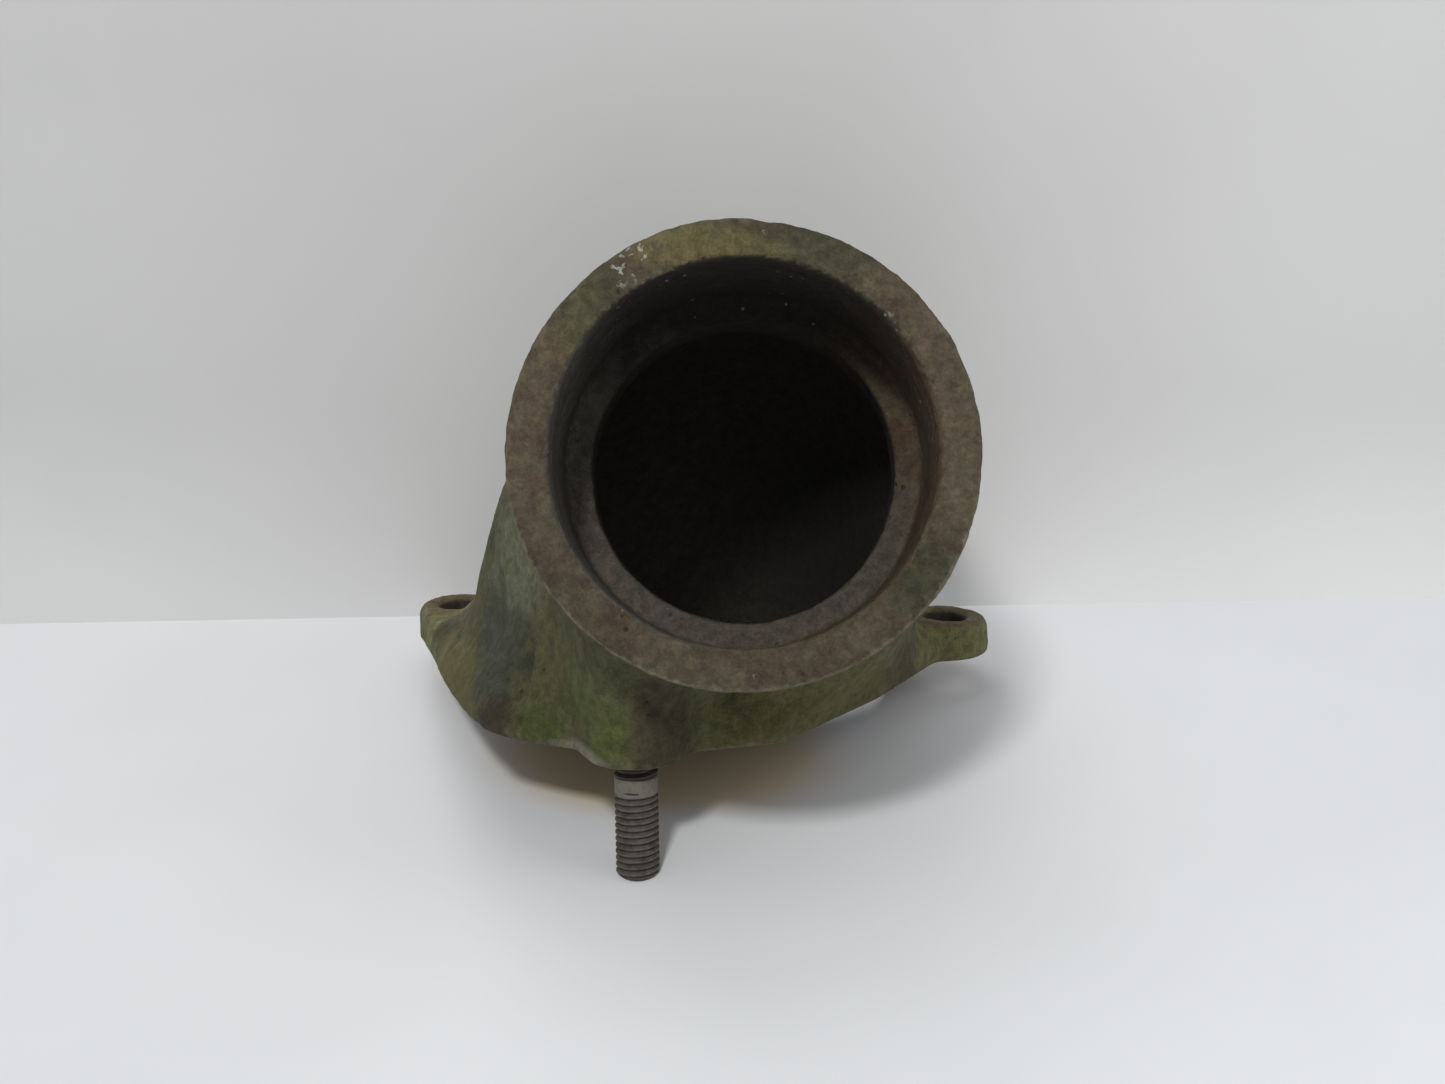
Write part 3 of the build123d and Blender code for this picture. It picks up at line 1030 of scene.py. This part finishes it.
@dataclass
class Stud:
    """Double-ended stud: a coarse thread at each end and a short plain shank between them."""

    axis_x: float
    axis_y: float
    bottom: float
    top: float
    major: float = 6.35 * MM
    pitch: float = 25.4 / 13 * MM
    depth: float = 1.02 * MM
    shank_low: float = -10.7 * MM
    shank_high: float = -5.8 * MM
    chamfer: float = 1.7 * MM
    node: str = "flange_stud"

    @classmethod
    def from_frame(cls) -> "Stud":
        """Take the stud's place from its frame node.

        Returns:
            The stud.
        """
        low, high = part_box(cls.node)
        return cls((low.x + high.x) / 2, (low.y + high.y) / 2, low.z, high.z)

    def build(self) -> bpy.types.Object:
        """Make the piece and dress it.

        Returns:
            The stud.
        """
        piece = self.thread()
        Workshop.combine(piece, self.bar("blank", self.bottom, self.top, self.major, self.chamfer),
                         Solver.KEEP_COMMON)
        Workshop.combine(piece, self.bar("shank", self.shank_low - 0.7 * MM,
                                         self.shank_high + 0.7 * MM, self.major - 0.02 * MM,
                                         0.7 * MM), Solver.JOIN)
        piece.location = (self.axis_x, self.axis_y, 0.0)
        Workshop.settle(piece)
        Workshop.apply(piece, "DISPLACE", strength=0.1 * MM, mid_level=0.5,
                       texture_coords="LOCAL", texture=Workshop.clouds(1.8 * MM, 1))
        Workshop.only(piece)
        bpy.ops.object.shade_smooth_by_angle(angle=math.radians(34))
        StudFinish(self.axis_x, self.axis_y).dress(piece)
        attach(piece, "root")
        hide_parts(self.node)
        return piece

    def thread(self) -> bpy.types.Object:
        """Turn one tooth of the thread up a right-hand helix, and close its ends.

        Returns:
            The thread round the Z axis, a little fatter than the finished stud.
        """
        crest = self.major + 0.27 * MM
        root = self.major - self.depth
        start = self.bottom - 2 * self.pitch
        bpy.ops.object.select_all(action="DESELECT")
        bpy.ops.mesh.primitive_plane_add(size=MM, location=(0.0, 0.0, 0.0))
        piece = bpy.context.object
        piece.name = "stud"
        Workshop.open(piece)
        bpy.ops.mesh.select_all(action="SELECT")
        bpy.ops.mesh.merge(type="CENTER")
        bpy.ops.transform.translate(value=(root, 0.0, start))
        for run, climb in ((crest - root, 0.46), (0.0, 0.05), (root - crest, 0.46), (0.0, 0.03)):
            bpy.ops.mesh.extrude_region_move(
                TRANSFORM_OT_translate={"value": (run, 0.0, climb * self.pitch)})
        Workshop.close()
        turns = int((self.top - self.bottom) / self.pitch) + 5
        Workshop.apply(piece, "SCREW", axis="Z", angle=2 * math.pi, screw_offset=self.pitch,
                       iterations=turns, steps=56, render_steps=56, use_merge_vertices=True,
                       merge_threshold=1e-6, use_smooth_shade=False)
        Workshop.open(piece)
        bpy.ops.mesh.select_all(action="SELECT")
        bpy.ops.mesh.remove_doubles(threshold=1e-6)
        for level, side in ((self.bottom - 0.5 * MM, -1.0), (self.top + 0.5 * MM, 1.0)):
            bpy.ops.mesh.select_all(action="SELECT")
            bpy.ops.mesh.bisect(plane_co=(0.0, 0.0, level), plane_no=(0.0, 0.0, side),
                                use_fill=True, clear_outer=True, threshold=1e-7)
        bpy.ops.mesh.select_all(action="SELECT")
        bpy.ops.mesh.normals_make_consistent(inside=False)
        Workshop.close()
        return piece

    def bar(self, name: str, low: float, high: float, radius: float,
            chamfer: float) -> bpy.types.Object:
        """Make a round bar with chamfered ends.

        Args:
            name: The object's name.
            low: Height of its lower end.
            high: Height of its upper end.
            radius: Its radius.
            chamfer: Size of its chamfers.

        Returns:
            The bar round the Z axis.
        """
        bpy.ops.object.select_all(action="DESELECT")
        bpy.ops.mesh.primitive_cylinder_add(vertices=112, radius=radius, depth=high - low,
                                            location=(0.0, 0.0, (low + high) / 2))
        made = bpy.context.object
        made.name = name
        Workshop.settle(made)
        Workshop.apply(made, "BEVEL", width=chamfer, segments=1, limit_method="ANGLE",
                       angle_limit=math.radians(60), offset_type="OFFSET")
        return made


@dataclass
class Stage:
    """Pale floor, pale backdrop board and soft lights."""

    level: Vector
    upward: Vector
    board_low: Vector
    board_along: Vector
    floor_tone: Colour = chip(238, 240, 243)
    board_tone: Colour = chip(236, 236, 235)
    # Dust, and painted warm shade under the flange.
    dust_and_shade_tone: Colour = chip(226, 210, 178)

    def build(self) -> None:
        """Make everything round the elbow."""
        forward = self.board_along.cross(self.upward)
        self.sheet("floor", self.level, self.board_along, self.upward, self.floor_tone)
        self.sheet("backdrop", self.board_low + self.upward * 1.5, self.board_along,
                   forward, self.board_tone)
        board = bpy.data.objects["backdrop"]
        board.visible_shadow = False
        board.visible_diffuse = False
        board.visible_glossy = False
        self.lamp("key", Vector((-0.04, -1.26, 0.93)), (0.17, 0.14), 9.9, (1.0, 0.995, 0.98))
        self.lamp("ceiling", Vector((-0.22, 0.22, 1.38)), (0.85, 0.65), 1.5, (1.0, 0.995, 0.98))
        self.lamp("fill", Vector((1.20, -0.50, 0.90)), (0.8, 0.8), 2.4, (1.0, 0.99, 0.98))
        self.lamp("back", Vector((-0.70, 1.10, 0.90)), (0.8, 0.8), 3.0, (1.0, 0.99, 0.98))
        world = bpy.data.worlds.new("soft_room")
        bpy.context.scene.world = world
        world.use_nodes = True
        back = world.node_tree.nodes["Background"]
        back.inputs["Color"].default_value = (0.97, 0.985, 1.0, 1.0)
        back.inputs["Strength"].default_value = 0.40

    def sheet(self, name: str, centre: Vector, along: Vector, normal: Vector,
              tone: Colour) -> None:
        """Make a large flat sheet that shows from its front only, with painted light and shade in its
        colour.

        Args:
            name: The object's name.
            centre: Its middle.
            along: Direction of one side.
            normal: Direction it faces.
            tone: Its colour.
        """
        bpy.ops.object.select_all(action="DESELECT")
        bpy.ops.mesh.primitive_plane_add(size=3.0, location=(0.0, 0.0, 0.0))
        made = bpy.context.object
        made.name = name
        side = normal.cross(along)
        made.matrix_world = Matrix.Translation(centre) @ Matrix(
            (along, side, normal)).transposed().to_4x4()
        Workshop.settle(made)
        bench = Bench(name + "_board")
        at = bench.place()
        haze = bench.rise(bench.noise(at, 160, 3), 0.3, 0.7)
        colour = bench.mix(tone, tuple(c * 0.95 for c in tone), haze)
        # Partly dust and partly painted shade: a warm, darker patch on the floor under the flange,
        # where the elbow's shadow falls.
        dust_and_painted_light = bench.patch(at, (-4, -26, -28), (58, 37, 60), haze * 0.3 + 0.35, 0.4)
        colour = bench.mix(colour, self.dust_and_shade_tone, dust_and_painted_light)
        right, _, height = bench.split(at)
        # Painted light: the backdrop is darker towards its top, and both sheets are lighter towards
        # the right.
        colour = bench.shade(colour, 0.8, 1.0, bench.rise(height, 90, -10))
        colour = bench.shade(colour, 0.97, 1.09, bench.rise(right, -160, 240))
        board = bench.node("ShaderNodeBsdfPrincipled", {}, {
            "Base Color": colour, "Roughness": 0.42, "Specular IOR Level": 0.3})
        clear = bench.node("ShaderNodeBsdfTransparent")
        back = bench.out(bench.node("ShaderNodeNewGeometry"), "Backfacing")
        one_sided = bench.node("ShaderNodeMixShader", {}, {
            0: back, 1: bench.out(board), 2: bench.out(clear)})
        bench.node("ShaderNodeOutputMaterial", {}, {"Surface": bench.out(one_sided)})
        made.data.materials.append(bench.material)

    def lamp(self, name: str, place: Vector, size: tuple[float, float], power: float,
             tint: Colour) -> None:
        """Hang a soft rectangular light that points at the elbow.

        Args:
            name: The light's name.
            place: Where it hangs.
            size: Its two sides.
            power: Its power, in watts.
            tint: Its colour.
        """
        data = bpy.data.lights.new(name, "AREA")
        data.shape = "RECTANGLE"
        data.size, data.size_y = size
        data.energy = power
        data.color = tint
        made = bpy.data.objects.new(name, data)
        bpy.context.scene.collection.objects.link(made)
        made.location = place
        aim = Vector((0.01, -0.05, 0.05)) - place
        made.rotation_euler = aim.to_track_quat("-Z", "Y").to_euler()


def place_camera() -> None:
    """Set the camera in front of the mouth, a little above it and level with the floor's sides."""
    forward = Vector((-0.13820, 0.96620, -0.21763)).normalized()
    upward = Vector((-0.02097, 0.21684, 0.97598))
    across = forward.cross(upward).normalized()
    upward = across.cross(forward)
    data = bpy.data.cameras.new("camera")
    data.lens = 49.83
    data.sensor_width = 36.0
    data.clip_start = 0.01
    made = bpy.data.objects.new("camera", data)
    bpy.context.scene.collection.objects.link(made)
    made.matrix_world = Matrix.Translation((0.10294, -0.62854, 0.18492)) @ Matrix(
        (across, upward, -forward)).transposed().to_4x4()
    bpy.context.scene.camera = made


def report(piece: bpy.types.Object) -> None:
    """Log a finished piece's size."""
    LOG.info("%s: %d faces, size %s mm", piece.name, len(piece.data.polygons),
             [round(side / MM, 1) for side in piece.dimensions])


def main() -> None:
    """Build the elbow, its stage and its camera."""
    logging.basicConfig(level=logging.INFO, format="%(relativeCreated)d %(name)s: %(message)s")
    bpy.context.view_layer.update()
    mouth = Mouth.from_record(frame["record"])
    report(Casting(mouth).build())
    report(Stud.from_frame().build())
    upward = Vector((0.0, -0.20686, 0.97837))
    board_along = Vector((0.530, 0.052, 0.011))
    board_along = (board_along - upward * board_along.dot(upward)).normalized()
    Stage(Vector((0.0, 0.079, -0.0002)), upward, Vector((0.0016, 0.0785, -0.0002)),
          board_along).build()
    place_camera()
    bpy.context.scene.view_settings.view_transform = "Standard"


if __name__ == "__main__":
    main()
